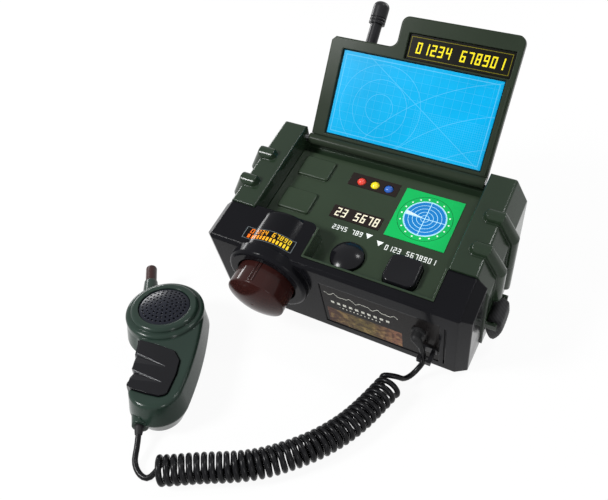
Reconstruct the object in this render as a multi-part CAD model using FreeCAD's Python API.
"""Toy walkie-talkie console with a flip-up screen lid and a hand microphone on a coiled cord.

World frame: millimetres, +Z up, floor at Z = 0, origin under the middle of the console,
+X to the user's right, -Y towards the user. The console's top slopes down to the user, so the
console is drawn in its own deck frame and tipped back into place. Deck frame: X to the right,
Y along the deck to the back, Z square to the deck, Z = 0 on the deck's surface.
"""
import FreeCAD
import Part
import math
import os
from FreeCAD import Vector as V

# ---------------------------------------------------------------- driving dimensions (mm)
SLOPE = 17.0                # deck angle to the floor, degrees
FRONT_Y = -16.2             # front face of the console, deck frame
SEAM_Y = 7.5                # seam between the black bezel and the green case halves
BACK_Y = 68.5               # back face of the console
FRONT_DEPTH = 42.2          # from the deck's level down to the case's underside at the front
FOOT_LIFT = 0.8             # how far the feet lift the underside off the floor
WORLD_FRONT = -44.534         # world Y of the case's lower front edge

CASE_HALF = 71.6            # half width of the green case halves
BEZEL_STEP = 1.1            # how far the black bezel stands in from the case on each side
BEZEL_HALF = CASE_HALF - BEZEL_STEP
WALL = 2.2                  # moulded wall
PARTING_Z = -22.0           # parting line of upper and lower case
BEZEL_TOP = 10.5            # top of the bezel above the deck
POD_TOP = 11.7              # top of the side pods above the deck
SIDE_CHAMFER = 6.2          # width of the chamfer along each side of the top
FLAT_HALF = CASE_HALF - SIDE_CHAMFER
POD_CHAMFER_Z = -1.5        # where the pods' side chamfer ends
BEZEL_CHAMFER_Z = 5.0       # where the bezel's side chamfer ends
CORNER_X = 5.5              # bezel's upright front corner chamfer, across
CORNER_Y = 4.0              # bezel's upright front corner chamfer, front to back
CASE_GAP = 0.15             # clearance between fitted mouldings

RIB_CENTRES = (21.8, 41.8)  # pod ribs along Y
RIB_WIDTH = 7.0
RIB_PROUD = 3.6
RIB_LENGTH = 9.0            # length of a rib on the flat top
RIB_ROUND = 3.0
RIB_ENDS = (-26.4, -46.0)   # lower ends of the front and back ribs

RECESS_HALF = 51.9          # half width of the recess between the pods
TRAY_HALF = RECESS_HALF - CASE_GAP      # half width of the deck tray
TRAY_FRONT = -11.0
TRAY_BACK = 60.6
TRAY_FLOOR = 2.4            # tray floor thickness
TRAY_LIP = 1.0              # upstanding edge of the tray
TRAY_LIP_TOP = 10.8
RECESS_FLOOR = 2.0          # case floor under the tray
REAR_SILL_Z = 0.9           # top of the case's back wall between the hinge ears

BLOCK_RIGHT = -15.4         # right side of the knob block
BLOCK_BACK = 9.4            # back of the knob block
BLOCK_ROUND = 4.0
KNOB_X = -33.3
KNOB_Z = -7.0
KNOB_R = 15.5
KNOB_BACK = -17.0           # back face of the knob
KNOB_RIM = -32.4            # front rim of the knob's side
KNOB_DOME = 3.6
KNOB_GAP = 1.0              # air around the knob in its well
HUMP_R = 20.4               # half-round hump behind the knob
HUMP_WALL = 2.0
RING_R = 22.0               # collar around the knob
RING_FRONT = -20.8
SHAFT_R = 3.0
SHAFT_GAP = 0.08
POT_R = 8.0
POT_FRONT = -11.8           # the switch sits on the back of the knob's wall
POT_BACK = -1.8
BUSH_R = 4.4                # its bushing, pressed into that wall

BUTTON_TOP = 4.2            # buttons above the deck
BUTTON_TRAVEL = 1.0
BUTTON_GAP = 0.3
BUTTON_FLANGE = 1.4         # flange under the deck, beyond the button
CODE_X, CODE_Y, CODE_R = 2.0, 2.6, 8.4
TALK_X, TALK_Y, TALK_SIDE, TALK_ROUND = 31.0, 3.4, 16.8, 4.0
STEM_R = 1.5

PCB_TOP = -9.6
PCB_THICK = 1.6
BOARD_POSTS = ((-40, 19), (42, 17), (-40, 55), (42, 55))
LED_X = (-11.4, -3.6, 4.2)
LED_Y = 49.9
LED_R = 2.5
LED_HOLE = 0.15
LED_TOP = 1.6
WINDOW_X = (-18.1, 9.6)     # black windows for lamps and digits
LAMP_Y = (46.0, 54.5)
DIGIT_Y = (23.0, 31.0)
WINDOW_THICK = 1.0
WINDOW_PROUD = 0.2
DIAL_X = (13.1, 44.6)       # square dial plate
DIAL_Y = (21.9, 54.0)
DIAL_THICK = 0.9
DIAL_PROUD = 0.3
PAD_X = (-47.2, -28.9)      # raised pads on the tray
PAD_Y = ((19.2, 33.2), (43.1, 56.6))
PAD_HIGH = 1.6

HINGE_Y = 66.25             # lid hinge axis
HINGE_Z = 4.6
LID_OPEN = 45.0             # lid's angle above the deck at rest, degrees
LID_THICK = 5.4
LID_SPLIT = 2.6             # thickness of the lid's front frame
LID_SIDE_GAP = 1.8          # air between the lid and the pods, clear of the tray's lip
LID_HALF = RECESS_HALF - LID_SIDE_GAP
LID_STEP_X = -13.5          # where the lid steps up to its label tab
LID_LOW = 56.4              # lid height left of the step
LID_HIGH = 72.6             # lid height over the tab
LID_ROUND = 4.0
LID_CORNER = 2.2            # chamfer of the lid's upper left corner
BARREL_R = 3.0
PIN_R = 1.5
PIN_GAP = 0.08
PIN_DEPTH = 5.0             # how far a hinge pin reaches into the lid
SCREEN_X = (-42.0, 45.6)
SCREEN_T = (5.2, 50.4)
SCREEN_THICK = 1.0
LABEL_X = (-7.8, 47.1)
LABEL_T = (51.9, 64.7)

PLATE_X = (-5.0, 56.7)      # front label plate
PLATE_Z = (-37.0, 0.0)
PLATE_DEPTH = 1.5           # pocket depth
PLATE_THICK = 1.2

MAST_X = -36.4              # antenna
MAST_Y = 76.1
MAST_Z = -6.4
MAST_LEAN = 36.0            # degrees above the deck plane
MAST_R = 3.3
MAST_LENGTH = 82.5
MAST_CAP_R = 4.6
MAST_CAP = 12.5
MAST_EYE_R = 4.4
MAST_EYE_HALF = 3.2
MAST_EAR = 2.4
MAST_PLATE = 2.0

CELL_R = 7.1                # four AA cells in two rows
CELL_LONG = 50.0
CELL_PITCH = 19.4
BAY_Y = 14.0                # world Y of the middle of the battery bay
BAY_HALF_X = 54.5
BAY_WALL = 1.6
DOOR_THICK = 2.0
DOOR_GAP = 0.3

SPEAKER_X, SPEAKER_Y = 32.0, -22.0   # world place of the speaker on the case's floor
SPEAKER_R = 16.0

CORD_R = 1.35               # cord
COIL_R = 7.0                # outside of the coiled stretch
GROMMET = (46.5, -19.8, -12.5)      # elbow of the cord outlet, deck frame
GROMMET_OUT = (0.512, -0.162, -0.844)   # way the cord leaves the elbow
GROMMET_LONG = 5.0
CLIP = (51.8, -21.2, -26.4)         # cord in its clip, deck frame

MIC_X, MIC_Y = -73.8, -92.5  # microphone: centre of its grille, world
MIC_TURN = 27.46            # turned about Z, degrees
MIC_HEAD_R = 21.0
MIC_TAIL = (4.0, -46.5)     # centre of the lower end of the body
MIC_TAIL_R = 14.0
MIC_WAIST_R = 9.0           # hollow between the head and the left flank
MIC_SIDE_R = 200.0          # bow of the right flank
MIC_SPLIT = 9.0             # height of the parting line
MIC_FACE = 21.5             # height of the face
MIC_FACE_IN = 1.6           # how far the face is drawn in
MIC_BASE_IN = 4.0           # how far the back is drawn in
MIC_WALL = 1.8
MIC_DRUM_R = 19.8           # drum round the grille
MIC_DRUM_TOP = 23.4
MIC_RING_R = 17.0
MIC_RING_TOP = 25.4
GRILLE_R = 12.8
GRILLE_TOP = 27.0
GRILLE_GAP = 0.25
GRILLE_HOLE_R = 0.55
GRILLE_PITCH = 2.15


# ---------------------------------------------------------------- helpers
def box(x0, x1, y0, y1, z0, z1):
    return Part.makeBox(x1 - x0, y1 - y0, z1 - z0, V(x0, y0, z0))


def cyl(x, y, z, axis, radius, length):
    return Part.makeCylinder(radius, length, V(x, y, z), V(*axis))


def cone(x, y, z, axis, r0, r1, length):
    return Part.makeCone(r0, r1, length, V(x, y, z), V(*axis))


def prism(points, shift):
    """Solid swept by a polygon of 3-D points along a vector."""
    return Part.Face(Part.makePolygon(points + points[:1])).extrude(V(*shift))


def prism_x(yz, x0, x1):
    return prism([V(x0, y, z) for y, z in yz], (x1 - x0, 0, 0))


def prism_y(xz, y0, y1):
    return prism([V(x, y0, z) for x, z in xz], (0, y1 - y0, 0))


def prism_z(xy, z0, z1):
    return prism([V(x, y, z0) for x, y in xy], (0, 0, z1 - z0))


def rounded(x0, x1, y0, y1, z0, z1, radius):
    """Box with its upright edges rounded."""
    body = box(x0, x1, y0, y1, z0, z1)
    edges = [e for e in body.Edges if abs(e.tangentAt(e.FirstParameter).z) > 0.99]
    return body.makeFillet(radius, edges)


def fillet(body, radius, test):
    """Round the edges for which test(edge centre, edge) holds."""
    edges = [e for e in body.Edges if test(e.CenterOfMass, e)]
    return body.makeFillet(radius, edges)


def revolve(profile, origin, axis):
    """Solid of revolution of (radius, distance along axis) points about an axis."""
    face = Part.Face(Part.makePolygon([V(r, 0, h) for r, h in profile + profile[:1]]))
    body = face.revolve(V(0, 0, 0), V(0, 0, 1), 360)
    body.Placement = FreeCAD.Placement(V(*origin), FreeCAD.Rotation(V(0, 0, 1), V(*axis)))
    return body


def dome(radius, height, x, y, z, axis):
    """Cap of a sphere with the given base radius and height, on a point, along an axis."""
    ball = (radius * radius + height * height) / (2 * height)
    cap = Part.makeSphere(ball, V(0, 0, height - ball))
    cap = cap.common(Part.makeCylinder(radius, height + 1, V(0, 0, 0)))
    cap.Placement = FreeCAD.Placement(V(x, y, z), FreeCAD.Rotation(V(0, 0, 1), V(*axis)))
    return cap


def fuse(*shapes):
    body = shapes[0].fuse(list(shapes[1:]))
    return body.removeSplitter()


def mirror_x(shape):
    return shape.mirror(V(0, 0, 0), V(1, 0, 0))


def under(y):
    """Deck-frame height of the case's underside at a deck Y."""
    return -FRONT_DEPTH - math.tan(math.radians(SLOPE)) * (y - FRONT_Y)


TILT = FreeCAD.Rotation(V(1, 0, 0), SLOPE)
LOW_EDGE = TILT.multVec(V(0, FRONT_Y, -FRONT_DEPTH))
DECK = FreeCAD.Placement(V(0, WORLD_FRONT - LOW_EDGE.y, FOOT_LIFT - LOW_EDGE.z), TILT)


PIN_OUT = RECESS_HALF + WALL - 0.3      # the pins end inside the pods' inner walls
LID = FreeCAD.Placement(V(0, HINGE_Y, HINGE_Z), FreeCAD.Rotation(V(1, 0, 0), LID_OPEN))
MIC = FreeCAD.Placement(V(MIC_X, MIC_Y, 0), FreeCAD.Rotation(V(0, 0, 1), MIC_TURN))


def place(shape, placement):
    return shape.transformed(placement.toMatrix())


NODES = {}
CENTRE = FreeCAD.Placement(V(15.07, 32.765, 0), FreeCAD.Rotation())   # origin to the outline's middle


def keep(name, shape, placement=None):
    """Store a finished piece under its node name, moved to the world frame."""
    if placement is not None:
        shape = place(shape, placement)
    NODES[name] = place(shape, CENTRE)


# ---------------------------------------------------------------- console case
def case_section(inset):
    """Outline of the green case across X and Z, drawn in by an inset."""
    w, top, flat = CASE_HALF - inset, POD_TOP - inset, FLAT_HALF - 0.6 * inset
    low = -120.0
    return [(-w, low), (-w, POD_CHAMFER_Z), (-flat, top), (flat, top), (w, POD_CHAMFER_Z), (w, low)]


def rib(centre, end):
    """One half-round rib over the right pod's top, chamfer and side."""
    deep = 1.0
    out = RIB_PROUD
    start = FLAT_HALF - RIB_LENGTH
    line = [(start, POD_TOP - deep), (start + 2.0, POD_TOP + out), (FLAT_HALF + 1.8, POD_TOP + out),
            (CASE_HALF + out, POD_CHAMFER_Z + 1.4), (CASE_HALF + out, end + 3.0),
            (CASE_HALF - deep, end), (CASE_HALF - deep, POD_CHAMFER_Z - 0.2),
            (FLAT_HALF - 0.6, POD_TOP - deep)]
    body = prism_y(line, centre - RIB_WIDTH / 2, centre + RIB_WIDTH / 2)

    def outer(c, e):
        on_side = abs(abs(c.y - centre) - RIB_WIDTH / 2) < 0.01
        buried = c.z < POD_TOP - deep + 0.01 and c.x < CASE_HALF - deep + 0.01
        return on_side and not buried
    return fillet(body, RIB_ROUND, outer)


def ribs():
    right = [rib(c, end) for c, end in zip(RIB_CENTRES, RIB_ENDS)]
    return right + [mirror_x(r) for r in right]


POST_X = (RECESS_HALF + CASE_HALF) / 2      # screw posts stand in the middle of the pods
POST_YS = (15.0, 60.0)
POST_R = 3.4


def screw_posts(z0, z1):
    return [cyl(sx * POST_X, y, z0, (0, 0, 1), POST_R, z1 - z0) for sx in (-1, 1) for y in POST_YS]


def lower_case():
    floor = WALL / math.cos(math.radians(SLOPE))
    outer = prism_x([(SEAM_Y, PARTING_Z), (BACK_Y, PARTING_Z), (BACK_Y, under(BACK_Y)),
                     (SEAM_Y, under(SEAM_Y))], -CASE_HALF, CASE_HALF)
    back = BACK_Y - WALL
    hollow = prism_x([(SEAM_Y - 1, PARTING_Z + 1), (back, PARTING_Z + 1), (back, under(back) + floor),
                      (SEAM_Y - 1, under(SEAM_Y - 1) + floor)], WALL - CASE_HALF, CASE_HALF - WALL)
    front = FRONT_Y + WALL + 1.2
    tongue = prism_x([(front, under(front)), (SEAM_Y + 1, under(SEAM_Y + 1)),
                      (SEAM_Y + 1, under(SEAM_Y + 1) + floor), (front, under(front) + floor)],
                     WALL + CASE_GAP - BEZEL_HALF, BEZEL_HALF - WALL - CASE_GAP)
    within = prism_z(bezel_outline(WALL + CASE_GAP), -100, 0)
    tongue = tongue.common(fuse(within, box(-BEZEL_HALF, BEZEL_HALF, SEAM_Y - 1, SEAM_Y + 1, -100, 0)))
    body = fuse(outer.cut(hollow), tongue)
    inside = prism_x([(SEAM_Y, PARTING_Z), (back, PARTING_Z), (back, under(back)),
                      (SEAM_Y, under(SEAM_Y))], WALL - CASE_HALF, CASE_HALF - WALL)
    posts = [p.common(inside) for p in screw_posts(-90, PARTING_Z - 0.1)]
    lower = box(-200, 200, -100, 200, -200, PARTING_Z)
    body = fuse(body, *posts, *[r.common(lower) for r in ribs()])
    body = place(body, DECK)
    return cut_floor(body)


def bay_rows():
    return (BAY_Y - CELL_PITCH / 2, BAY_Y + CELL_PITCH / 2)


BAY_HALF_Y = CELL_PITCH / 2 + CELL_R + 0.5
BAY_FLOOR = FOOT_LIFT
BAY_TOP = FOOT_LIFT + DOOR_THICK + 2 * CELL_R + 1.2


def cut_floor(body):
    """Battery bay, speaker slots and screw holes in the lower case, in the world frame."""
    bay = box(-BAY_HALF_X - BAY_WALL, BAY_HALF_X + BAY_WALL, BAY_Y - BAY_HALF_Y - BAY_WALL,
              BAY_Y + BAY_HALF_Y + BAY_WALL, BAY_FLOOR, BAY_TOP + BAY_WALL)
    body = fuse(body, bay)
    body = body.cut(box(-BAY_HALF_X, BAY_HALF_X, BAY_Y - BAY_HALF_Y, BAY_Y + BAY_HALF_Y,
                        BAY_FLOOR - 1, BAY_TOP))
    body = fuse(body, cyl(DOOR_SCREW[0], DOOR_SCREW[1], BAY_FLOOR + DOOR_THICK, (0, 0, 1), 2.4, BAY_TOP - 2))
    body = body.cut(cyl(DOOR_SCREW[0], DOOR_SCREW[1], BAY_FLOOR, (0, 0, 1), SCREW_R, 12))
    slots = [box(SPEAKER_X - 9, SPEAKER_X + 9, SPEAKER_Y + k * 4.0 - 0.8, SPEAKER_Y + k * 4.0 + 0.8,
                 BAY_FLOOR - 1, BAY_FLOOR + 4) for k in range(-2, 3)]
    cup = cyl(SPEAKER_X, SPEAKER_Y, BAY_FLOOR + 1, (0, 0, 1), SPEAKER_R + 1.6, 4.2)
    seat = cyl(SPEAKER_X, SPEAKER_Y, BAY_FLOOR + WALL, (0, 0, 1), SPEAKER_R + 0.2, 8)
    body = fuse(body, cup).cut(seat)
    return body.cut(Part.Compound(slots + screw_holes() + foot_recesses()))


def screw_axes():
    """World foot points and directions of the four case screws."""
    up = TILT.multVec(V(0, 0, 1))
    for sx in (-1, 1):
        for y in POST_YS:
            yield DECK.multVec(V(sx * POST_X, y, under(y))), up


SCREW_R = 1.4
SCREW_HEAD_R = 2.6
SCREW_SINK = 4.0
SCREW_BITE = 19.0           # depth of the screw bores above the parting line


def screw_holes():
    holes = []
    for foot, up in screw_axes():
        holes.append(Part.makeCylinder(SCREW_HEAD_R + 0.2, SCREW_SINK + 2, foot - up * 2, up))
        holes.append(Part.makeCylinder(SCREW_R, 60, foot, up))
    return holes


def case_screws():
    screws = []
    for foot, up in screw_axes():
        head = Part.makeCylinder(SCREW_HEAD_R, 1.8, foot + up * (SCREW_SINK - 1.8), up)
        slot = Part.makeBox(3.4, 0.7, 0.8)
        slot.Placement = FreeCAD.Placement(foot + up * (SCREW_SINK - 1.8) - V(1.7, 0.35, 0), TILT)
        shank = Part.makeCylinder(SCREW_R - 0.02, post_length(foot) + 8, foot + up * (SCREW_SINK - 0.1), up)
        screws.append(head.fuse(shank).cut(slot))
    return Part.Compound(screws)


def post_length(foot):
    """Distance up a post from the case's underside to the parting line, less the head's sink."""
    local = DECK.inverse().multVec(foot)
    return PARTING_Z - local.z - SCREW_SINK


FOOT_R = 5.0
FOOT_DEEP = 1.0
FOOT_IN = 10.5              # foot centres from the bezel's sides
FEET = [(sx * (BEZEL_HALF - FOOT_IN), y) for y in (-36, 38) for sx in (-1, 1)]


def foot_recesses():
    return [cyl(x, y, FOOT_LIFT - 1, (0, 0, 1), FOOT_R + 0.1, FOOT_DEEP + 1) for x, y in FEET]


def feet():
    return Part.Compound([fillet(cyl(x, y, 0, (0, 0, 1), FOOT_R, FOOT_LIFT + FOOT_DEEP), 0.4,
                                 lambda c, e: c.z < 0.01) for x, y in FEET])


def upper_case():
    outer = prism_y(case_section(0), SEAM_Y, BACK_Y)
    outer = fillet(outer, 1.5, lambda c, e: c.z > POD_CHAMFER_Z - 0.1 and SEAM_Y + 1 < c.y)
    hollow = prism_y(case_section(WALL), SEAM_Y - 1, BACK_Y - WALL)
    body = outer.cut(hollow).common(box(-200, 200, -50, 200, PARTING_Z, 100))
    pan = -TRAY_FLOOR - RECESS_FLOOR
    body = body.cut(box(-RECESS_HALF, RECESS_HALF, SEAM_Y - 1, BACK_Y + 1, pan, 100))
    walls = [box(sx * (RECESS_HALF + WALL / 2) - WALL / 2, sx * (RECESS_HALF + WALL / 2) + WALL / 2,
                 SEAM_Y, BACK_Y - 1, pan, POD_TOP) for sx in (-1, 1)]
    floor = box(-RECESS_HALF - 1, RECESS_HALF + 1, SEAM_Y, BACK_Y - 1, pan, -TRAY_FLOOR)
    sill = box(-RECESS_HALF - 1, RECESS_HALF + 1, BACK_Y - WALL, BACK_Y, pan - 1, REAR_SILL_Z)
    body = fuse(body, *walls, floor, sill)
    body = fillet(body, 1.0, lambda c, e: abs(abs(c.x) - RECESS_HALF) < 0.01 and abs(c.z - POD_TOP) < 0.01
                  and e.Length > 10)
    posts = screw_posts(PARTING_Z, POD_TOP - 1)
    upper = box(-200, 200, -100, 200, PARTING_Z, 200)
    body = fuse(body, *posts, *[r.common(upper) for r in ribs()])
    window = box(-44, 46, SEAM_Y - 1, 57, pan - 1, -TRAY_FLOOR + 1)
    bores = [cyl(sx * POST_X, y, PARTING_Z - 1, (0, 0, 1), SCREW_R, SCREW_BITE)
             for sx in (-1, 1) for y in POST_YS]
    pins = cyl(-PIN_OUT, HINGE_Y, HINGE_Z, (1, 0, 0), PIN_R, 2 * PIN_OUT)
    return body.cut(Part.Compound([window, pins] + bores))


def bezel_section(inset):
    """Outline of the bezel across X and Z, drawn in by an inset."""
    w, top, flat = BEZEL_HALF - inset, BEZEL_TOP - inset, FLAT_HALF - 0.5 * inset
    low = -100.0
    return [(-w, low), (-w, BEZEL_CHAMFER_Z - 0.4 * inset), (-flat, top), (flat, top),
            (w, BEZEL_CHAMFER_Z - 0.4 * inset), (w, low)]


def bezel_outline(inset):
    w, f = BEZEL_HALF - inset, FRONT_Y + inset
    return [(-w, SEAM_Y), (-w, FRONT_Y + CORNER_Y + 0.4 * inset), (-BEZEL_HALF + CORNER_X + 0.5 * inset, f),
            (BEZEL_HALF - CORNER_X - 0.5 * inset, f), (w, FRONT_Y + CORNER_Y + 0.4 * inset), (w, SEAM_Y)]


def knob_block(radius, back, front):
    """Upright half-round block with the hump's radius about the knob's axis."""
    return cyl(KNOB_X, front, KNOB_Z, (0, 1, 0), radius, back - front)


def tray_outline(grow):
    """Outline of the deck tray, which goes round the knob block at its front left."""
    w, f = TRAY_HALF + grow, TRAY_FRONT - grow
    x, y, r = BLOCK_RIGHT - grow, BLOCK_BACK - grow, BLOCK_ROUND
    corner = V(x - r * (1 - math.sqrt(0.5)), y - r * (1 - math.sqrt(0.5)), 0)
    edges = [Part.LineSegment(V(-w, y, 0), V(-w, TRAY_BACK, 0)),
             Part.LineSegment(V(-w, TRAY_BACK, 0), V(w, TRAY_BACK, 0)),
             Part.LineSegment(V(w, TRAY_BACK, 0), V(w, f, 0)),
             Part.LineSegment(V(w, f, 0), V(x, f, 0)),
             Part.LineSegment(V(x, f, 0), V(x, y - r, 0)),
             Part.Arc(V(x, y - r, 0), corner, V(x - r, y, 0)),
             Part.LineSegment(V(x - r, y, 0), V(-w, y, 0))]
    return Part.Wire([e.toShape() for e in edges])


def tray_block(grow, z0, z1):
    wire = tray_outline(grow)
    wire.translate(V(0, 0, z0))
    return Part.Face(wire).extrude(V(0, 0, z1 - z0))


def front_bezel():
    low = -100.0
    mask_y = prism_x([(FRONT_Y, under(FRONT_Y)), (FRONT_Y, BEZEL_TOP - 1.6), (FRONT_Y + 1.6, BEZEL_TOP),
                      (SEAM_Y, BEZEL_TOP), (SEAM_Y, under(SEAM_Y))], -100, 100)
    outer = prism_z(bezel_outline(0), low, BEZEL_TOP).common(prism_y(bezel_section(0), -50, 50))
    outer = outer.common(mask_y)
    outer = fillet(outer, 0.8, lambda c, e: c.y < SEAM_Y - 0.1 and c.z > under(c.y) + 1)
    hollow = prism_z(bezel_outline(WALL), low, BEZEL_TOP - WALL).cut(
        box(-100, 100, SEAM_Y - 0.01, 50, low, 50))
    hollow = fuse(hollow, box(WALL - BEZEL_HALF, BEZEL_HALF - WALL, SEAM_Y - 1, SEAM_Y + 5, low, BEZEL_TOP))
    hollow = hollow.common(prism_y(bezel_section(WALL), -50, 50))
    body = outer.cut(hollow)
    block = box(-RECESS_HALF, BLOCK_RIGHT - CASE_GAP, SEAM_Y - 6, BLOCK_BACK - CASE_GAP,
                -TRAY_FLOOR, BEZEL_TOP)
    block = block.cut(box(-100, CASE_GAP - RECESS_HALF, SEAM_Y, 50, -50, 50))
    block = fillet(block, BLOCK_ROUND, lambda c, e: c.x > BLOCK_RIGHT - 1 and c.y > SEAM_Y + 1
                   and abs(e.tangentAt(e.FirstParameter).z) > 0.99)
    skirt = fuse(box(BLOCK_RIGHT - WALL - CASE_GAP, BLOCK_RIGHT - CASE_GAP, FRONT_Y + 1, SEAM_Y,
                     -TRAY_FLOOR, BEZEL_TOP),
                 box(BLOCK_RIGHT - WALL, TRAY_HALF + 1.6, FRONT_Y + 1, TRAY_FRONT - CASE_GAP,
                     -TRAY_FLOOR, BEZEL_TOP - 0.5),
                 box(TRAY_HALF + CASE_GAP, TRAY_HALF + 1.8, TRAY_FRONT - 1, SEAM_Y,
                     -TRAY_FLOOR, BEZEL_TOP))
    hump = fillet(knob_block(HUMP_R, BLOCK_BACK - CASE_GAP, FRONT_Y + 1), 2.4, lambda c, e: c.y > SEAM_Y)
    hump = hump.common(box(-100, 100, -50, 50, -TRAY_FLOOR - 25, 50))
    hump = hump.cut(box(-100, 100, SEAM_Y, 50, -100, -TRAY_FLOOR))
    hump = hump.cut(box(BLOCK_RIGHT - CASE_GAP, 0, TRAY_FRONT - CASE_GAP, 50, -TRAY_FLOOR, 50))
    ring = fillet(knob_block(RING_R, FRONT_Y + 2, RING_FRONT), 2.0, lambda c, e: c.y < RING_FRONT + 0.1)
    body = fuse(body.cut(tray_block(CASE_GAP, -TRAY_FLOOR, 50)), skirt, block, hump, ring)
    body = body.cut(knob_block(HUMP_R - HUMP_WALL, BLOCK_BACK - WALL - 0.6, POT_FRONT))
    body = body.cut(knob_block(KNOB_R + KNOB_GAP, KNOB_BACK + 0.5, RING_FRONT - 1))
    body = body.cut(knob_block(BUSH_R, POT_FRONT + 1, KNOB_BACK - 2))
    pocket = box(PLATE_X[0], PLATE_X[1], FRONT_Y - 1, FRONT_Y + PLATE_DEPTH, PLATE_Z[0], PLATE_Z[1])
    back_up = box(PLATE_X[0] - 2, PLATE_X[1] + 2, FRONT_Y + PLATE_DEPTH, FRONT_Y + PLATE_DEPTH + 1.6,
                  PLATE_Z[0] - 1, PLATE_Z[1] + 2)
    body = fuse(body, back_up).cut(pocket)
    groove = box(PLATE_X[1] + 2.2, PLATE_X[1] + 3.0, FRONT_Y - 1, FRONT_Y + 0.8, PLATE_Z[0], PLATE_Z[1] - 1.5)
    outlet = cyl(GROMMET[0], FRONT_Y - 2, GROMMET[2], (0, 1, 0), 2.6, 12)
    return body.cut(Part.Compound([groove, outlet]))


# ---------------------------------------------------------------- deck
def deck_tray():
    floor = tray_block(0, -TRAY_FLOOR, 0)
    lip = tray_block(0, -TRAY_FLOOR, TRAY_LIP_TOP).cut(tray_block(-TRAY_LIP, -TRAY_FLOOR - 1, TRAY_LIP_TOP + 1))
    lip = lip.common(box(BLOCK_RIGHT - 40, TRAY_HALF + 1, TRAY_FRONT - 1, SEAM_Y, -TRAY_FLOOR, TRAY_LIP_TOP))
    body = fuse(floor, lip)
    pads = [rounded(PAD_X[0], PAD_X[1], y0, y1, -1, PAD_HIGH, 1.5) for y0, y1 in PAD_Y]
    pads = [fillet(p, 0.8, lambda c, e: c.z > PAD_HIGH - 0.01) for p in pads]
    posts = [cyl(x, y, PCB_TOP, (0, 0, 1), 2.4, -TRAY_FLOOR + 1 - PCB_TOP)
             for x, y in BOARD_POSTS]
    body = fuse(body, *pads, *posts)
    cuts = [cyl(CODE_X, CODE_Y, -10, (0, 0, 1), CODE_R + BUTTON_GAP, 20),
            rounded(TALK_X - TALK_SIDE / 2 - BUTTON_GAP, TALK_X + TALK_SIDE / 2 + BUTTON_GAP,
                    TALK_Y - TALK_SIDE / 2 - BUTTON_GAP, TALK_Y + TALK_SIDE / 2 + BUTTON_GAP,
                    -10, 10, TALK_ROUND + BUTTON_GAP)]
    cuts += [cyl(x, LED_Y, -10, (0, 0, 1), LED_R + LED_HOLE, 20) for x in LED_X]
    sink = WINDOW_THICK - WINDOW_PROUD
    cuts += [box(WINDOW_X[0], WINDOW_X[1], LAMP_Y[0], LAMP_Y[1], -sink, 5),
             box(WINDOW_X[0], WINDOW_X[1], DIGIT_Y[0], DIGIT_Y[1], -sink, 5),
             box(WINDOW_X[0] + 1.2, WINDOW_X[1] - 1.2, DIGIT_Y[0] + 1.2, DIGIT_Y[1] - 1.2, -10, 5),
             box(DIAL_X[0], DIAL_X[1], DIAL_Y[0], DIAL_Y[1], DIAL_PROUD - DIAL_THICK, 5)]
    cuts += [cyl(x, y, PCB_TOP - 1, (0, 0, 1), 0.9, 6) for x, y in BOARD_POSTS]
    return body.cut(Part.Compound(cuts))


def lamp_window():
    plate = box(WINDOW_X[0], WINDOW_X[1], LAMP_Y[0], LAMP_Y[1], WINDOW_PROUD - WINDOW_THICK, WINDOW_PROUD)
    return plate.cut(Part.Compound([cyl(x, LED_Y, -5, (0, 0, 1), LED_R + LED_HOLE, 10) for x in LED_X]))


def digit_window():
    return box(WINDOW_X[0], WINDOW_X[1], DIGIT_Y[0], DIGIT_Y[1], WINDOW_PROUD - WINDOW_THICK, WINDOW_PROUD)


def digit_display():
    return box(WINDOW_X[0] + 1.6, WINDOW_X[1] - 1.6, DIGIT_Y[0] + 1.6, DIGIT_Y[1] - 1.6, PCB_TOP,
               WINDOW_PROUD - WINDOW_THICK)


def dial_plate():
    return box(DIAL_X[0], DIAL_X[1], DIAL_Y[0], DIAL_Y[1], DIAL_PROUD - DIAL_THICK, DIAL_PROUD)


def lamp(x):
    straight = LED_TOP - LED_R
    body = fuse(cyl(x, LED_Y, -6.5, (0, 0, 1), LED_R, straight + 6.5),
                Part.makeSphere(LED_R, V(x, LED_Y, straight)),
                cyl(x, LED_Y, -6.5, (0, 0, 1), LED_R + 0.4, 1.0))
    legs = [cyl(x + s * 1.27, LED_Y, PCB_TOP, (0, 0, 1), 0.3, -6 - PCB_TOP) for s in (-1, 1)]
    return fuse(body, *legs)


SWITCH_TOP = PCB_TOP + 3.6
FLANGE_TOP = -TRAY_FLOOR - 0.05
FLANGE_THICK = 1.2


def code_button():
    bulge = 2.4
    body = fuse(cyl(CODE_X, CODE_Y, FLANGE_TOP - FLANGE_THICK, (0, 0, 1), CODE_R,
                    BUTTON_TOP - bulge - FLANGE_TOP + FLANGE_THICK),
                dome(CODE_R, bulge, CODE_X, CODE_Y, BUTTON_TOP - bulge, (0, 0, 1)),
                cyl(CODE_X, CODE_Y, FLANGE_TOP - FLANGE_THICK, (0, 0, 1), CODE_R + BUTTON_FLANGE, FLANGE_THICK),
                cyl(CODE_X, CODE_Y, SWITCH_TOP - 1.2, (0, 0, 1), STEM_R, FLANGE_TOP - SWITCH_TOP + 1))
    return body


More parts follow.
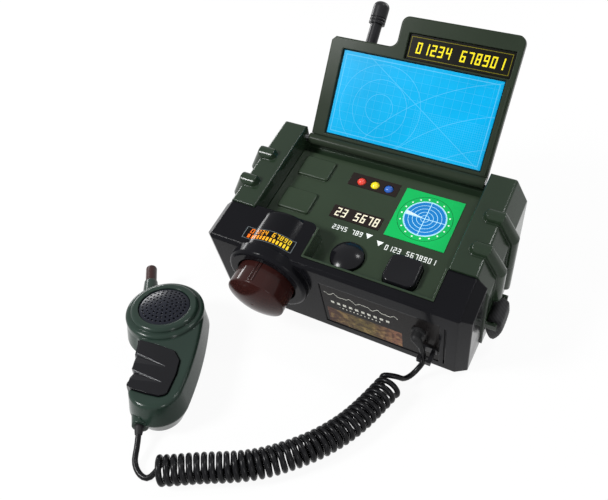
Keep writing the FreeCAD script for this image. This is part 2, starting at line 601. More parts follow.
def talk_button():
    half = TALK_SIDE / 2
    cap = rounded(TALK_X - half, TALK_X + half, TALK_Y - half, TALK_Y + half, FLANGE_TOP - FLANGE_THICK,
                  BUTTON_TOP, TALK_ROUND)
    cap = fillet(cap, 1.4, lambda c, e: c.z > BUTTON_TOP - 0.01)
    dish = dome(half - 2.2, 0.3, TALK_X, TALK_Y, BUTTON_TOP, (0, 0, -1))
    cap = cap.cut(dish)
    wide = half + BUTTON_FLANGE
    flange = rounded(TALK_X - wide, TALK_X + wide, TALK_Y - wide, TALK_Y + wide,
                     FLANGE_TOP - FLANGE_THICK, FLANGE_TOP, TALK_ROUND + 1)
    stem = cyl(TALK_X, TALK_Y, SWITCH_TOP - 1.2, (0, 0, 1), STEM_R, FLANGE_TOP - SWITCH_TOP + 1)
    return fuse(cap, flange, stem)


def button_switches():
    out = []
    for x, y in ((CODE_X, CODE_Y), (TALK_X, TALK_Y)):
        body = box(x - 3, x + 3, y - 3, y + 3, PCB_TOP, SWITCH_TOP)
        out.append(body.cut(cyl(x, y, SWITCH_TOP - 2.6, (0, 0, 1), STEM_R + 0.05, 5)))
    return Part.Compound(out)


def circuit_board():
    board = box(-46, 46, -8.5, 59, PCB_TOP - PCB_THICK, PCB_TOP)
    board = board.cut(box(-47, BLOCK_RIGHT + 4, -9, BLOCK_BACK + 4, -20, 0))
    chips = [box(-30, -18, 26, 38, PCB_TOP - PCB_THICK - 1.6, PCB_TOP - PCB_THICK + 0.5),
             box(18, 34, 22, 30, PCB_TOP - PCB_THICK - 2.4, PCB_TOP - PCB_THICK + 0.5)]
    board = fuse(board, *chips)
    return board.cut(Part.Compound([cyl(x, y, -20, (0, 0, 1), 1.2, 20) for x, y in BOARD_POSTS]))


def board_screws():
    out = []
    low = PCB_TOP - PCB_THICK
    for x, y in BOARD_POSTS:
        out.append(cyl(x, y, low - 1.4, (0, 0, 1), 2.0, 1.4).fuse(cyl(x, y, low - 0.1, (0, 0, 1), 0.9, 5.5)))
    return Part.Compound(out)


# ---------------------------------------------------------------- knob
def power_knob():
    body = cyl(KNOB_X, KNOB_BACK, KNOB_Z, (0, -1, 0), KNOB_R, KNOB_BACK - KNOB_RIM)
    body = fuse(body, dome(KNOB_R, KNOB_DOME, KNOB_X, KNOB_RIM, KNOB_Z, (0, -1, 0)))
    body = fillet(body, 0.7, lambda c, e: abs(c.y - KNOB_RIM) < 0.05)
    pointer = [box(KNOB_X + dx - 0.35, KNOB_X + dx + 0.35, KNOB_RIM + 1.5, KNOB_BACK - 1, KNOB_Z + KNOB_R - 1,
                   KNOB_Z + KNOB_R + 0.35) for dx in (-0.9, 0.9)]
    return fuse(body, *pointer).cut(knob_block(SHAFT_R, KNOB_BACK + 1, KNOB_BACK - 10))


def knob_shaft():
    return knob_block(SHAFT_R, POT_FRONT + 4, KNOB_BACK - 10)


def power_switch():
    body = knob_block(POT_R, POT_BACK, POT_FRONT)
    bush = knob_block(BUSH_R, POT_FRONT + 0.5, KNOB_BACK + 0.6)
    tags = [box(KNOB_X - 4.6 + 3 * k, KNOB_X - 3.4 + 3 * k, POT_FRONT + 3, POT_FRONT + 3.5,
                KNOB_Z - POT_R - 4, KNOB_Z - POT_R + 1) for k in range(3)]
    body = fuse(body, bush, *tags)
    return body.cut(knob_block(SHAFT_R + SHAFT_GAP, POT_FRONT + 4.3, KNOB_BACK))


# ---------------------------------------------------------------- lid (X across, Y up the lid, Z out of its face)
def lid_outline(low):
    """Lid outline: low left part, a rounded step and the taller label tab."""
    x, r, c = LID_STEP_X, LID_ROUND, LID_CORNER
    edges = [Part.LineSegment(V(-LID_HALF, low, 0), V(-LID_HALF, LID_LOW - c, 0)),
             Part.LineSegment(V(-LID_HALF, LID_LOW - c, 0), V(c - LID_HALF, LID_LOW, 0)),
             Part.LineSegment(V(c - LID_HALF, LID_LOW, 0), V(x - r, LID_LOW, 0)),
             Part.Arc(V(x - r, LID_LOW, 0), V(x - r * (1 - math.sqrt(0.5)), LID_LOW + r * (1 - math.sqrt(0.5)), 0),
                      V(x, LID_LOW + r, 0)),
             Part.LineSegment(V(x, LID_LOW + r, 0), V(x, LID_HIGH - r, 0)),
             Part.Arc(V(x, LID_HIGH - r, 0), V(x + r * (1 - math.sqrt(0.5)), LID_HIGH - r * (1 - math.sqrt(0.5)), 0),
                      V(x + r, LID_HIGH, 0)),
             Part.LineSegment(V(x + r, LID_HIGH, 0), V(LID_HALF - r, LID_HIGH, 0)),
             Part.Arc(V(LID_HALF - r, LID_HIGH, 0),
                      V(LID_HALF - r * (1 - math.sqrt(0.5)), LID_HIGH - r * (1 - math.sqrt(0.5)), 0),
                      V(LID_HALF, LID_HIGH - r, 0)),
             Part.LineSegment(V(LID_HALF, LID_HIGH - r, 0), V(LID_HALF, low, 0)),
             Part.LineSegment(V(LID_HALF, low, 0), V(-LID_HALF, low, 0))]
    return Part.Wire([e.toShape() for e in edges])


def lid_slab(low, z0, z1):
    wire = lid_outline(low)
    wire.translate(V(0, 0, z0))
    return Part.Face(wire).extrude(V(0, 0, z1 - z0))


def lid_back():
    body = lid_slab(0, -LID_THICK, -LID_SPLIT)
    body = fillet(body, 1.2, lambda c, e: c.z < 0.01 - LID_THICK and c.y > 1)
    barrel = cyl(-LID_HALF, 0, 0, (1, 0, 0), BARREL_R, 2 * LID_HALF)
    root = box(-LID_HALF, LID_HALF, 0, 2.6, -LID_SPLIT - 0.2, 0)
    nose = prism_x([(-1, -LID_THICK - 1), (3.4, -LID_THICK - 1), (-0.01, -BARREL_R), (-1, -BARREL_R)],
                   -LID_HALF - 1, LID_HALF + 1)
    body = fuse(body, barrel, root).cut(nose)
    return body.cut(cyl(-LID_HALF - 1, 0, 0, (1, 0, 0), PIN_R + PIN_GAP, 2 * LID_HALF + 2))


def lid_frame():
    body = lid_slab(BARREL_R + 0.1, -LID_SPLIT, 0)
    body = fillet(body, 0.7, lambda c, e: c.z > -0.01 and c.y > BARREL_R + 0.2)
    rail = box(SCREEN_X[1] + 2.6, SCREEN_X[1] + 3.4, 4.0, 48.0, -0.5, 0.5)
    body = fuse(body, rail)
    screen = prism_window(SCREEN_X, SCREEN_T, 1.2)
    label = prism_window(LABEL_X, LABEL_T, 0.5)
    return body.cut(Part.Compound([screen, label]))


def prism_window(xs, ts, splay):
    """Window whose sides open towards the lid's face."""
    low = Part.makePolygon([V(xs[0], ts[0], -LID_SPLIT - 0.5), V(xs[1], ts[0], -LID_SPLIT - 0.5),
                            V(xs[1], ts[1], -LID_SPLIT - 0.5), V(xs[0], ts[1], -LID_SPLIT - 0.5),
                            V(xs[0], ts[0], -LID_SPLIT - 0.5)])
    s = splay * 0.5
    top = Part.makePolygon([V(xs[0] - s, ts[0] - s, 0.6), V(xs[1] + s, ts[0] - s, 0.6),
                            V(xs[1] + s, ts[1] + s, 0.6), V(xs[0] - s, ts[1] + s, 0.6),
                            V(xs[0] - s, ts[0] - s, 0.6)])
    return Part.makeLoft([low, top], True, True)


def lid_screen():
    e = CASE_GAP
    return box(SCREEN_X[0] + e, SCREEN_X[1] - e, SCREEN_T[0] + e, SCREEN_T[1] - e, -LID_SPLIT,
               SCREEN_THICK - LID_SPLIT)


def lid_label():
    e = CASE_GAP
    return box(LABEL_X[0] + e, LABEL_X[1] - e, LABEL_T[0] + e, LABEL_T[1] - e, -LID_SPLIT,
               SCREEN_THICK - LID_SPLIT)


def hinge_pins():
    long = PIN_OUT - LID_HALF + PIN_DEPTH
    return Part.Compound([cyl(x, HINGE_Y, HINGE_Z, (1, 0, 0), PIN_R, long)
                          for x in (-PIN_OUT, PIN_OUT - long)])


# ---------------------------------------------------------------- front label plate and cord fittings
def front_plate():
    e = CASE_GAP
    face = FRONT_Y + PLATE_DEPTH
    body = box(PLATE_X[0] + e, PLATE_X[1] - e, face - PLATE_THICK, face, PLATE_Z[0] + e, PLATE_Z[1] - e)
    return body.cut(cyl(GROMMET[0], FRONT_Y - 2, GROMMET[2], (0, 1, 0), 3.4 + e, 12))


def cord_grommet():
    """Rubber elbow bush in the front wall."""
    x, y, z = GROMMET
    seat = FRONT_Y + PLATE_DEPTH
    body = fuse(cyl(x, FRONT_Y - 1.0, z, (0, 1, 0), 3.4, seat - FRONT_Y + 1.0),
                cyl(x, y, z, (0, 1, 0), 2.5, seat + 3.5 - y),
                Part.makeSphere(2.5, V(x, y, z)),
                cone(x, y, z, GROMMET_OUT, 2.5, CORD_R + 0.35, GROMMET_LONG))
    return body


def cord_clip():
    """Two hooked horns moulded on a small base that hold the cord against the plate."""
    x, y, z = CLIP
    face = FRONT_Y + PLATE_DEPTH - PLATE_THICK
    tip = y - CORD_R - 1.6
    base = rounded_plate(x - 4.4, x + 4.4, face - 1.0, face, z - 2.4, z + 2.4)
    horns = [box(x + s * 2.6 - 0.9, x + s * 2.6 + 0.9, tip, face - 0.5, z - 1.5, z + 1.5) for s in (-1, 1)]
    hooks = [box(x + s * 1.9 - 1.1, x + s * 1.9 + 1.1, tip, tip + 1.3, z - 1.5, z + 1.5) for s in (-1, 1)]
    return fuse(base, *horns, *hooks).cut(cyl(x, y, z - 5, (0, 0, 1), CORD_R + 0.3, 10))


def rounded_plate(x0, x1, y0, y1, z0, z1):
    body = box(x0, x1, y0, y1, z0, z1)
    return body.makeFillet(1.2, [e for e in body.Edges if abs(e.tangentAt(e.FirstParameter).y) > 0.99])


# ---------------------------------------------------------------- antenna
def mast_placement():
    return FreeCAD.Placement(V(MAST_X, MAST_Y, MAST_Z), FreeCAD.Rotation(V(1, 0, 0), MAST_LEAN))


def antenna_bracket():
    plate = box(MAST_X - 9, MAST_X + 9, BACK_Y, BACK_Y + MAST_PLATE, MAST_Z - 8, MAST_Z + 7)
    ears = []
    for s in (-1, 1):
        x = MAST_X + s * (MAST_EYE_HALF + 0.3 + MAST_EAR / 2)
        ears.append(fuse(cyl(x - MAST_EAR / 2, MAST_Y, MAST_Z, (1, 0, 0), MAST_EYE_R - 0.4, MAST_EAR),
                         box(x - MAST_EAR / 2, x + MAST_EAR / 2, BACK_Y + 1, MAST_Y,
                             MAST_Z - MAST_EYE_R + 0.4, MAST_Z + MAST_EYE_R - 0.4)))
    body = fuse(plate, *ears)
    return body.cut(cyl(MAST_X - 20, MAST_Y, MAST_Z, (1, 0, 0), PIN_R, 40))


def antenna_pin():
    half = MAST_EYE_HALF + 0.3 + MAST_EAR
    return cyl(MAST_X - half, MAST_Y, MAST_Z, (1, 0, 0), PIN_R, 2 * half)


def antenna_rod():
    eye = cyl(-MAST_EYE_HALF, 0, 0, (1, 0, 0), MAST_EYE_R, 2 * MAST_EYE_HALF)
    rod = cyl(0, 0, 0, (0, 1, 0), MAST_R, MAST_LENGTH - MAST_CAP + 2)
    collar = cone(0, MAST_EYE_R + 0.4, 0, (0, 1, 0), MAST_R + 0.9, MAST_R, 8)
    spigot = cyl(0, 0, 0, (0, 1, 0), MAST_R - 1.0, MAST_LENGTH - 3)
    rod = rod.common(cyl(0, 0, 0, (0, 1, 0), MAST_R, MAST_LENGTH - MAST_CAP))
    body = fuse(eye, rod, collar, spigot)
    return body.cut(cyl(-10, 0, 0, (1, 0, 0), PIN_R + PIN_GAP, 20))


def antenna_tip():
    start = MAST_LENGTH - MAST_CAP
    body = cyl(0, start, 0, (0, 1, 0), MAST_CAP_R, MAST_CAP)
    body = fillet(body, 3.2, lambda c, e: c.y > MAST_LENGTH - 0.01)
    grooves = [revolve([(MAST_CAP_R - 0.5, h), (MAST_CAP_R + 1, h), (MAST_CAP_R + 1, h + 0.6),
                        (MAST_CAP_R - 0.5, h + 0.6)], (0, start, 0), (0, 1, 0)) for h in (1.4, 3.0)]
    body = body.cut(Part.Compound(grooves))
    return body.cut(cyl(0, start - 1, 0, (0, 1, 0), MAST_R - 1.0, MAST_CAP - 2))


# ---------------------------------------------------------------- inside: battery bay, speaker
DOOR_SCREW = (0.0, BAY_Y)


def batteries():
    z = BAY_FLOOR + DOOR_THICK + 0.2 + CELL_R
    cells = []
    for y in bay_rows():
        for x in (-CELL_LONG - 1.2, 1.2):
            can = cyl(x, y, z, (1, 0, 0), CELL_R, CELL_LONG - 1.4)
            cells.append(can.fuse(cyl(x + CELL_LONG - 1.5, y, z, (1, 0, 0), 2.6, 1.5)))
    return Part.Compound(cells)


def battery_springs():
    """Spring contacts at the bay's left wall and flat contacts at its right wall."""
    z = BAY_FLOOR + DOOR_THICK + 0.2 + CELL_R
    out = []
    for y in bay_rows():
        flat = box(-BAY_HALF_X, -BAY_HALF_X + 0.5, y - 5, y + 5, z - 5, z + 5)
        tip = cone(-BAY_HALF_X + 0.4, y, z, (1, 0, 0), 4.0, 2.0, BAY_HALF_X - CELL_LONG - 1.2 - 0.45)
        out.append(flat.fuse(tip))
        right = 1.2 + CELL_LONG
        out.append(box(BAY_HALF_X - 0.5, BAY_HALF_X, y - 5, y + 5, z - 5, z + 5).fuse(
            cone(BAY_HALF_X - 0.4, y, z, (-1, 0, 0), 4.0, 2.0, BAY_HALF_X - right - 0.45)))
    return Part.Compound(out)


def battery_door():
    body = box(-BAY_HALF_X + DOOR_GAP, BAY_HALF_X - DOOR_GAP, BAY_Y - BAY_HALF_Y + DOOR_GAP,
               BAY_Y + BAY_HALF_Y - DOOR_GAP, BAY_FLOOR, BAY_FLOOR + DOOR_THICK)
    grips = [box(-6, 6, BAY_Y - 10 + 2 * k, BAY_Y - 9.2 + 2 * k, BAY_FLOOR - 1, BAY_FLOOR + 0.5) for k in range(4)]
    sink = cyl(DOOR_SCREW[0], DOOR_SCREW[1], BAY_FLOOR - 1, (0, 0, 1), 2.6, 2.7)
    hole = cyl(DOOR_SCREW[0], DOOR_SCREW[1], BAY_FLOOR - 1, (0, 0, 1), SCREW_R + 0.1, 6)
    return body.cut(Part.Compound(grips + [sink, hole]))


def door_screw():
    """Screw that holds the battery door, with its tower in the bay's wall."""
    head = cyl(DOOR_SCREW[0], DOOR_SCREW[1], BAY_FLOOR + 0.4, (0, 0, 1), 2.4, 1.3)
    return head.fuse(cyl(DOOR_SCREW[0], DOOR_SCREW[1], BAY_FLOOR + 1.6, (0, 0, 1), SCREW_R - 0.02, 9.0))


def speaker():
    z = BAY_FLOOR + WALL
    x, y = SPEAKER_X, SPEAKER_Y
    frame = fuse(cyl(x, y, z, (0, 0, 1), SPEAKER_R, 2.0), cone(x, y, z + 1.9, (0, 0, 1), SPEAKER_R - 1, 8.5, 5),
                 cyl(x, y, z + 6.5, (0, 0, 1), 8.0, 5.0))
    return frame.cut(cone(x, y, z - 0.01, (0, 0, 1), SPEAKER_R - 2, 5.0, 5.0))


# ---------------------------------------------------------------- strap
STRAP_Y = (10.0, 26.0)
STRAP_Z = -31.0
LUG_OUT = 3.9               # bar's centre out from the case
LUG_X = CASE_HALF + LUG_OUT
LUG_R = 1.8
WEB = 1.6                   # thickness of the webbing
WEB_TAIL = 17.0             # how far it hangs below its bar


def strap_lug():
    """Moulded bar on the case's right side that the webbing goes round."""
    y0, y1 = STRAP_Y
    bar = cyl(LUG_X, y0 - 1.5, STRAP_Z, (0, 1, 0), LUG_R, y1 - y0 + 3)
    cheeks = [box(CASE_HALF - 1.0, LUG_X + LUG_R, y, y + 1.4, STRAP_Z - 2.2, STRAP_Z + 2.2)
              for y in (y0 - 1.7, y1 + 0.3)]
    return fuse(bar, *cheeks)


def strap_loop():
    """Webbing looped over its bar, both layers stitched together below it."""
    y0, y1 = STRAP_Y
    inner = LUG_R + 0.05
    outer = inner + WEB
    sleeve = cyl(LUG_X, y0, STRAP_Z, (0, 1, 0), outer, y1 - y0)
    tail = prism_y([(LUG_X - outer, STRAP_Z), (LUG_X + outer, STRAP_Z), (LUG_X + 1.7 * WEB, STRAP_Z - 9),
                    (LUG_X + 1.5 * WEB, STRAP_Z - WEB_TAIL), (LUG_X - 1.5 * WEB, STRAP_Z - WEB_TAIL),
                    (LUG_X - 1.7 * WEB, STRAP_Z - 9)], y0, y1)
    tail = fillet(tail, 0.8, lambda c, e: abs(c.z - STRAP_Z + WEB_TAIL) < 0.01 and abs(c.x - LUG_X) > 0.1)
    return fuse(sleeve, tail).cut(cyl(LUG_X, y0 - 1, STRAP_Z, (0, 1, 0), inner, y1 - y0 + 2))


# ---------------------------------------------------------------- microphone (mic frame)
def turn_arc(centre, radius, a0, a1, z):
    """Arc about a centre from angle a0 to a1, radians, at height z."""
    pts = [V(centre[0] + radius * math.cos(a), centre[1] + radius * math.sin(a), z)
           for a in (a0, (a0 + a1) / 2, a1)]
    return Part.Arc(*pts)


def side_centre():
    """Centre of the right flank's bow, which touches the head and the tail circles."""
    far_head, far_tail = MIC_SIDE_R - MIC_HEAD_R, MIC_SIDE_R - MIC_TAIL_R
    tx, ty = MIC_TAIL
    span = math.hypot(tx, ty)
    along = (far_head ** 2 - far_tail ** 2 + span ** 2) / (2 * span)
    off = math.sqrt(far_head ** 2 - along ** 2)
    return along * tx / span + off * ty / span, along * ty / span - off * tx / span


def mic_outline(inset, z):
    """Closed wire of the microphone's body outline, drawn in by an inset, at height z."""
    tx, ty = MIC_TAIL
    side = side_centre()
    wx = tx - MIC_TAIL_R - MIC_WAIST_R
    wy = -math.sqrt((MIC_HEAD_R + MIC_WAIST_R) ** 2 - wx ** 2)
    at_head = math.atan2(-side[1], -side[0])
    at_tail = math.atan2(ty - side[1], tx - side[0])
    waist = math.atan2(wy, wx) + 2 * math.pi
    flank = wx + MIC_WAIST_R + inset
    edges = [turn_arc((0, 0), MIC_HEAD_R - inset, at_head, waist, z),
             turn_arc((wx, wy), MIC_WAIST_R + inset, waist - math.pi, 0, z),
             Part.LineSegment(V(flank, wy, z), V(flank, ty, z)),
             turn_arc(MIC_TAIL, MIC_TAIL_R - inset, math.pi, 2 * math.pi + at_tail, z),
             turn_arc(side, MIC_SIDE_R - inset, at_tail, at_head, z)]
    return Part.Wire([e.toShape() for e in edges])


def mic_level(z, inset=0.0):
    """Body outline at a height, between its back, parting line and face."""
    if z <= MIC_SPLIT:
        taper = MIC_BASE_IN * (MIC_SPLIT - z) / MIC_SPLIT
    else:
        taper = MIC_FACE_IN * (z - MIC_SPLIT) / (MIC_FACE - MIC_SPLIT)
    return mic_outline(taper + inset, z)


def mic_body(z0, z1, shrink):
    return Part.makeLoft([mic_level(z0, shrink), mic_level(z1, shrink)], True, True)


BOSS = (-2.6, -56.0)        # cord boss at the microphone's lower end
BOSS_Z = 8.4
BOSS_R = 4.6
BOSS_END = -59.8


def mic_back_shell():
    body = mic_body(0, MIC_SPLIT, 0)
    body = fillet(body, 2.4, lambda c, e: c.z < 0.01)
    body = body.cut(mic_body(MIC_WALL, MIC_SPLIT, MIC_WALL))
    posts = [cyl(x, y, 1, (0, 0, 1), 2.6, MIC_SPLIT - 1) for x, y in MIC_POSTS]
    body = fuse(body, *posts)
    cuts = [cyl(x, y, -1, (0, 0, 1), 2.2, 3.4) for x, y in MIC_POSTS]
    cuts += [cyl(x, y, -1, (0, 0, 1), 1.0, 20) for x, y in MIC_POSTS]
    return body.cut(Part.Compound(cuts))


MIC_POSTS = ((13.5, 6.0), (10.6, -46.5))


def mic_screws():
    out = []
    for x, y in MIC_POSTS:
        out.append(cyl(x, y, 1.0, (0, 0, 1), 2.0, 1.4).fuse(cyl(x, y, 2.3, (0, 0, 1), 0.98, MIC_SPLIT + 0.5)))
    return Part.Compound(out)


LEVER_FACE = ((-7.0, -48.9), (0.7, -51.6), (6.6, -53.0), (9.9, -52.2), (12.3, -40.5), (12.6, -32.6),
              (9.2, -26.9), (-1.9, -22.3), (-10.9, -19.4))      # lever on the microphone's face
LEVER_GRIPS = ((-9.9, -28.2), (-8.3, -29.4), (-8.9, -37.4), (-7.1, -39.6), (-9.6, -46.4))
LEVER_ROUND = 2.4
LEVER_GAP = 0.4
LEVER_DEEP = 5.2
LEVER_PROUD = 0.9
LEVER_AXIS = (14.2, MIC_FACE - 5.3)     # mic X and Z of the lever's pivot
LEVER_ROOM = MIC_FACE - LEVER_DEEP - 2.4    # floor of its opening
POST_R_MIC = 2.4


def lever_prism(z0, z1):
    """Upright prism of the finger lever's outline, its right corners rounded."""
    body = prism_z(LEVER_FACE + LEVER_GRIPS, z0, z1)
    return fillet(body, LEVER_ROUND, lambda c, e: c.x > 8 and abs(e.tangentAt(e.FirstParameter).z) > 0.99)


def lever_opening():
    """Opening for the lever in the face and the left flank, with its gap."""
    x = -40.0
    low, high = LEVER_FACE[0][1], LEVER_FACE[-1][1]
    points = ((x, high), (x, low)) + LEVER_FACE
    body = prism_z(points, LEVER_ROOM, MIC_FACE + 5)
    body = fillet(body, LEVER_ROUND, lambda c, e: c.x > 8 and abs(e.tangentAt(e.FirstParameter).z) > 0.99)
    return body.makeOffsetShape(LEVER_GAP, 0.001, join=2)


def mic_front_shell():
    skin = mic_body(MIC_SPLIT, MIC_FACE, 0)
    skin = fillet(skin, 2.0, lambda c, e: c.z > MIC_FACE - 0.01)
    drum = cyl(0, 0, MIC_FACE - 4, (0, 0, 1), MIC_DRUM_R, MIC_DRUM_TOP - MIC_FACE + 4)
    drum = fillet(drum, 1.8, lambda c, e: c.z > MIC_DRUM_TOP - 0.01)
    ring = cyl(0, 0, MIC_FACE - 2, (0, 0, 1), MIC_RING_R, MIC_RING_TOP - MIC_FACE + 2)
    ring = fillet(ring, 1.7, lambda c, e: c.z > MIC_RING_TOP - 0.01)
    body = fuse(skin, drum, ring)
    body = body.cut(mic_body(MIC_SPLIT, MIC_FACE - MIC_WALL, MIC_WALL))
    body = body.cut(lever_opening())
    head, tail = MIC_POSTS
    pillars = [cyl(*head, MIC_SPLIT, (0, 0, 1), POST_R_MIC, MIC_FACE - MIC_SPLIT - 1),
               cyl(*tail, MIC_SPLIT, (0, 0, 1), POST_R_MIC, LEVER_ROOM - MIC_SPLIT - LEVER_GAP)]
    web = box(tail[0], tail[0] + 8, tail[1] - 1, tail[1] + 1, MIC_SPLIT, LEVER_ROOM - LEVER_GAP)
    web = web.common(mic_body(MIC_SPLIT, MIC_FACE, 0.5))
    stub = cone(*STUB_FROM, STUB_WAY, 4.6, 3.6, STUB_LONG)
    stub = stub.cut(mic_body(MIC_SPLIT, MIC_FACE - MIC_WALL, MIC_WALL))
    collar = cyl(0, 0, MIC_FACE - 4.0, (0, 0, 1), GRILLE_R + 1.8, 3.0)
    ax, az = LEVER_AXIS
    lugs = [box(ax - 1.5, ax + 1.5, y, y + 2.2, az - 1.9, MIC_FACE - 1.0) for y in (-46.5, -33.7)]
    lugs = [g.cut(lever_opening()) for g in lugs]
    body = fuse(body, collar, stub, *pillars, web, *lugs)
    bores = [cyl(x, y, MIC_SPLIT - 1, (0, 0, 1), 0.98, 4) for x, y in MIC_POSTS]
    bores += [cyl(0, 0, MIC_FACE - 2.6, (0, 0, 1), GRILLE_R + GRILLE_GAP, 20),
              cyl(0, 0, MIC_FACE - 8, (0, 0, 1), GRILLE_R - 1.4, 20),
              cyl(ax, -47, az, (0, 1, 0), LEVER_PIN_R, 16)]
    return body.cut(Part.Compound(bores + [stub_tip_core()]))


STUB_FROM = (-11.6, 14.0, 14.2)      # short stub at the microphone's top
STUB_WAY = (-0.17, 0.985, 0)
STUB_LONG = 15.0


def stub_tip_core():
    return cyl(-13.6, 25.6, STUB_FROM[2], STUB_WAY, 1.8, 4.2)


def mic_stub_tip():
    body = fillet(cyl(-14.14, 28.78, STUB_FROM[2], STUB_WAY, 3.0, 12.5), 1.2, lambda c, e: c.y > 38)
    return fuse(body, stub_tip_core())


def mic_grille():
    disc = fuse(cyl(0, 0, MIC_FACE - 2.6, (0, 0, 1), GRILLE_R, MIC_RING_TOP - 0.6 - MIC_FACE + 2.6),
                dome(GRILLE_R, GRILLE_TOP - MIC_RING_TOP + 0.6, 0, 0, MIC_RING_TOP - 0.6, (0, 0, 1)))
    disc = disc.cut(cyl(0, 0, MIC_FACE - 4, (0, 0, 1), GRILLE_R - 2.0, MIC_RING_TOP - 1.6 - MIC_FACE + 4))
    holes = []
    for ring in range(1, 6):
        count = 6 * ring
        for k in range(count):
            angle = 2 * math.pi * (k + 0.5 * (ring % 2)) / count
            holes.append(cyl(GRILLE_PITCH * ring * math.cos(angle), GRILLE_PITCH * ring * math.sin(angle),
                             MIC_FACE - 5, (0, 0, 1), GRILLE_HOLE_R, 20))
    return disc.cut(Part.Compound(holes))


def grip_step(x0, y0, x1, y1, deep, wide):
    """Wedge that sinks the lever's face just past a grip's ridge and fades out to the right."""
    top = MIC_FACE + LEVER_PROUD + 0.1

    def slope(x, y, k):
        return Part.makePolygon([V(x, y, top), V(x, y - 0.2 * k, top - deep * k), V(x - 0.3 * k, y - wide * k, top),
                                 V(x, y, top)])
    return Part.makeLoft([slope(x0, y0, 1.0), slope(x1, y1, 0.15)], True, True)


def mic_lever():
    """Finger lever with three grips, let into the face and the left flank."""
    skin = Part.makeLoft([mic_level(MIC_SPLIT + 1.2, -LEVER_PROUD), mic_level(MIC_FACE, -LEVER_PROUD)], True, True)
    skin = fuse(skin, Part.Face(mic_level(MIC_FACE)).extrude(V(0, 0, LEVER_PROUD)))
    body = lever_prism(MIC_FACE - LEVER_DEEP, MIC_FACE + LEVER_PROUD).common(skin)
    steps = [grip_step(-12.0, -26.6, 6.6, -36.4, 1.3, 7.5), grip_step(-12.0, -36.6, 6.4, -45.6, 1.3, 7.5)]
    body = body.cut(Part.Compound(steps))
    stem = cyl(-2.5, -36.0, MIC_SWITCH_TOP, (0, 0, 1), 1.6, MIC_FACE - LEVER_DEEP - MIC_SWITCH_TOP + 0.5)
    ax, az = LEVER_AXIS
    low = MIC_FACE - LEVER_DEEP
    arm = box(ax - 6.5, ax, -42.6, -34.0, low - 1.2, low + 0.6)
    eye = cyl(ax, -42.6, az, (0, 1, 0), 1.7, 8.6)
    body = fuse(body, stem, arm, eye)
    return body.cut(cyl(ax, -60, az, (0, 1, 0), LEVER_PIN_R + PIN_GAP, 60))


MIC_SWITCH_TOP = 9.0
LEVER_PIN_R = 0.9
LEVER_TRAVEL = 4.0          # degrees


def lever_pin():
    return cyl(LEVER_AXIS[0], -46.4, LEVER_AXIS[1], (0, 1, 0), LEVER_PIN_R, 14.8)


def mic_board():
    """Small board in the microphone with its talk switch and capsule seat."""
    board = box(-6.0, 9.0, -44.0, -16.0, 4.0, 5.2)
    switch = box(-5.5, 0.5, -39.0, -33.0, 5.1, MIC_SWITCH_TOP - 1.5)
    posts = [cyl(x, y, MIC_WALL, (0, 0, 1), 1.5, 4.1 - MIC_WALL) for x, y in ((-3, -20), (5, -40))]
    return fuse(board, switch, *posts)


def mic_capsule():
    """Small loudspeaker and microphone insert behind the grille."""
    z = MIC_FACE - 2.6
    r = GRILLE_R - 1.6
    return fuse(cyl(0, 0, z - 3.0, (0, 0, 1), r, 3.0), cyl(0, 0, z - 7.5, (0, 0, 1), 7.0, 4.6))


RELIEF_R = 2.2
RELIEF_FROM = (-2.95, -60.1, 8.3)    # where the relief leaves the boss, mic frame
RELIEF_TO = (-2.90, -63.15, 7.0)     # where the cord starts


def mic_relief():
    """Tapered strain relief where the cord leaves the microphone's boss."""
    a, b = V(*RELIEF_FROM), V(*RELIEF_TO)
    tip = Part.makeCone(RELIEF_R, CORD_R + 0.3, (b - a).Length, a, b - a)
    root = cyl(a.x, BOSS_END + 5.5, a.z, (0, -1, 0), RELIEF_R, BOSS_END + 5.5 - a.y)
    return fuse(root, Part.makeSphere(RELIEF_R, a), tip)


def mic_boss():
    """Moulded boss of the back shell that holds the strain relief."""
    x, y = BOSS
    outer = cone(x, y + 9, BOSS_Z, (0, -1, 0), BOSS_R + 2.2, BOSS_R - 0.8, y + 9 - BOSS_END)
    return outer.common(box(-40, 40, -70, 0, 0.6, 40))


# ---------------------------------------------------------------- cord
def mic_point(x, y, z):
    return MIC.multVec(V(x, y, z))


FLOOR_Z = CORD_R + 0.15
COIL_Z = COIL_R + 0.1
MIC_CORD = [(-44.9, -154.1, 5.0), (-42.7, -159.6, 2.7), (-37.6, -163.0, FLOOR_Z), (-32.0, -163.2, FLOOR_Z),
            (-27.5, -160.9, 1.8), (-25.6, -159.2, 2.0)]
COIL_LINE = [(-25.4, -158.4), (-13.3, -150.4), (1.6, -142.0), (11.7, -133.9), (20.8, -123.6), (27.9, -113.6),
             (34.1, -100.9), (38.5, -86.3), (41.8, -70.1)]
DECK_CORD = [(43.2, -70.3, 2.7), (44.9, -65.2, 3.0), (47.6, -59.8, 4.3), (50.2, -55.3, 7.8), (51.9, -53.7, 13.4),
             (51.7, -55.3, 19.5)]


def route_path(points):
    """Wire of straight runs joined by tangent arcs, and the arcs' radii."""
    pts = [V(*p) for p in points]
    radii, edges = [], []
    start = pts[0]
    for a, b, c in zip(pts, pts[1:], pts[2:]):
        u, w = (b - a), (c - b)
        run = min(u.Length, w.Length)
        u = u * (1 / u.Length)
        w = w * (1 / w.Length)
        turn = math.acos(max(-1, min(1, u.dot(w))))
        back = 0.45 * run
        radius = back / math.tan(turn / 2)
        p0, p1 = b - u * back, b + w * back
        middle = (w - u) * (1 / (w - u).Length)
        top = b + middle * (radius / math.cos(turn / 2) - radius)
        edges.append(Part.LineSegment(start, p0).toShape())
        edges.append(Part.Arc(p0, top, p1).toShape())
        radii.append(radius)
        start = p1
    edges.append(Part.LineSegment(start, pts[-1]).toShape())
    return Part.Wire(edges), radii


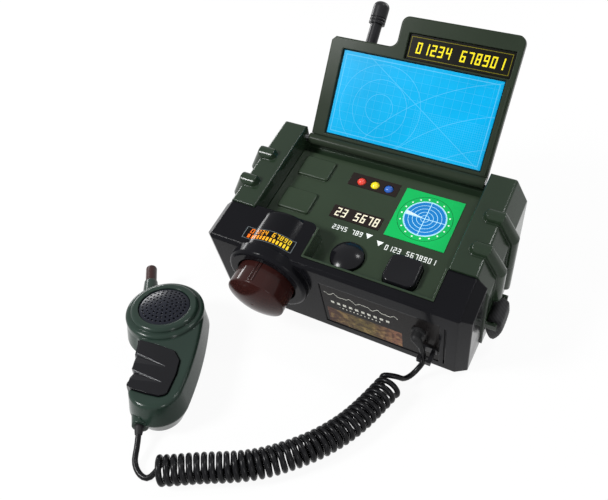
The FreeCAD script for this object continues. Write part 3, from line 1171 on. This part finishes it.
def tube(name, points, radius):
    """Round tube along a route; prints its smallest bend and how well its volume agrees."""
    path, radii = route_path(points)
    first = V(*points[1]) - V(*points[0])
    ring = Part.Wire([Part.Circle(V(*points[0]), first, radius).toShape()])
    body = path.makePipeShell([ring], True, False)
    expected = math.pi * radius ** 2 * path.Length
    print(name, "length %.1f" % path.Length, "smallest bend radius %.1f" % min(radii),
          "volume ratio %.4f" % (body.Volume / expected))
    return body


def cord_route_mic():
    return [tuple(mic_point(*RELIEF_TO))] + MIC_CORD


def cord_route_deck():
    elbow = V(*GROMMET) + V(*GROMMET_OUT) * GROMMET_LONG
    return DECK_CORD + [tuple(DECK.multVec(elbow))]


# ---------------------------------------------------------------- assembly
def build_case():
    lugs = Part.Compound([strap_lug(), mirror_x(strap_lug())])
    keep("lower_case", fuse(lower_case(), place(lugs, DECK)))
    keep("strap_loops", Part.Compound([strap_loop(), mirror_x(strap_loop())]), DECK)
    keep("upper_case", upper_case(), DECK)
    keep("front_bezel", front_bezel(), DECK)
    keep("deck_tray", deck_tray(), DECK)
    keep("case_screws", case_screws())
    keep("rubber_feet", feet())
    keep("front_plate", front_plate(), DECK)


def build_deck():
    keep("lamp_window", lamp_window(), DECK)
    keep("digit_window", digit_window(), DECK)
    keep("digit_display", digit_display(), DECK)
    keep("dial_plate", dial_plate(), DECK)
    for name, x in zip(("lamp_red", "lamp_yellow", "lamp_blue"), LED_X):
        keep(name, lamp(x), DECK)
    keep("code_button", code_button(), DECK)
    keep("talk_button", talk_button(), DECK)
    keep("button_switches", button_switches(), DECK)
    keep("circuit_board", circuit_board(), DECK)
    keep("board_screws", board_screws(), DECK)
    keep("power_knob", power_knob(), DECK)
    keep("knob_shaft", knob_shaft(), DECK)
    keep("power_switch", power_switch(), DECK)


def build_lid():
    to_world = DECK.multiply(LID)
    keep("lid_back", lid_back(), to_world)
    keep("lid_frame", lid_frame(), to_world)
    keep("lid_screen", lid_screen(), to_world)
    keep("lid_label", lid_label(), to_world)
    keep("hinge_pins", hinge_pins(), DECK)


def build_antenna():
    to_world = DECK.multiply(mast_placement())
    keep("antenna_bracket", antenna_bracket(), DECK)
    keep("antenna_pin", antenna_pin(), DECK)
    keep("antenna_rod", antenna_rod(), to_world)
    keep("antenna_tip", antenna_tip(), to_world)


def build_inside():
    keep("batteries", batteries())
    keep("battery_springs", battery_springs())
    keep("battery_door", battery_door())
    keep("door_screw", door_screw())
    keep("speaker", speaker())


def build_mic():
    keep("mic_back_shell", fuse(mic_back_shell(), mic_boss()).cut(relief_bore()), MIC)
    keep("mic_front_shell", mic_front_shell().cut(mic_boss_room()), MIC)
    keep("mic_grille", mic_grille(), MIC)
    keep("mic_lever", mic_lever(), MIC)
    keep("lever_pin", lever_pin(), MIC)
    keep("mic_board", mic_board(), MIC)
    keep("mic_capsule", mic_capsule(), MIC)
    keep("mic_screws", mic_screws(), MIC)
    keep("mic_stub_tip", mic_stub_tip(), MIC)
    keep("mic_relief", mic_relief(), MIC)


def relief_bore():
    return fuse(cyl(RELIEF_FROM[0], BOSS_END + 5.5, RELIEF_FROM[2], (0, -1, 0), RELIEF_R, 20),
                mic_body(MIC_WALL, MIC_SPLIT, MIC_WALL))


def mic_boss_room():
    return mic_boss()


def build_cord():
    keep("cord_grommet", cord_grommet(), DECK)
    keep("cord_clip", cord_clip(), DECK)
    coil_points = [p + (COIL_Z,) for p in COIL_LINE]
    keep("cord_coil", tube("coil", coil_points, COIL_R))
    keep("cord_mic_end", tube("microphone end", cord_route_mic(), CORD_R))
    keep("cord_deck_end", tube("console end", cord_route_deck(), CORD_R))


def main():
    os.makedirs("parts", exist_ok=True)
    build_case()
    build_deck()
    build_lid()
    build_antenna()
    build_inside()
    build_mic()
    build_cord()
    for name, shape in NODES.items():
        solids = shape.Solids
        print("%-18s solids %2d valid %s volume %9.1f" % (name, len(solids), shape.isValid(),
                                                          sum(s.Volume for s in solids)))
        if len(solids) == 1:
            shape = solids[0]
        shape.exportStep("parts/%s.step" % name)


main()
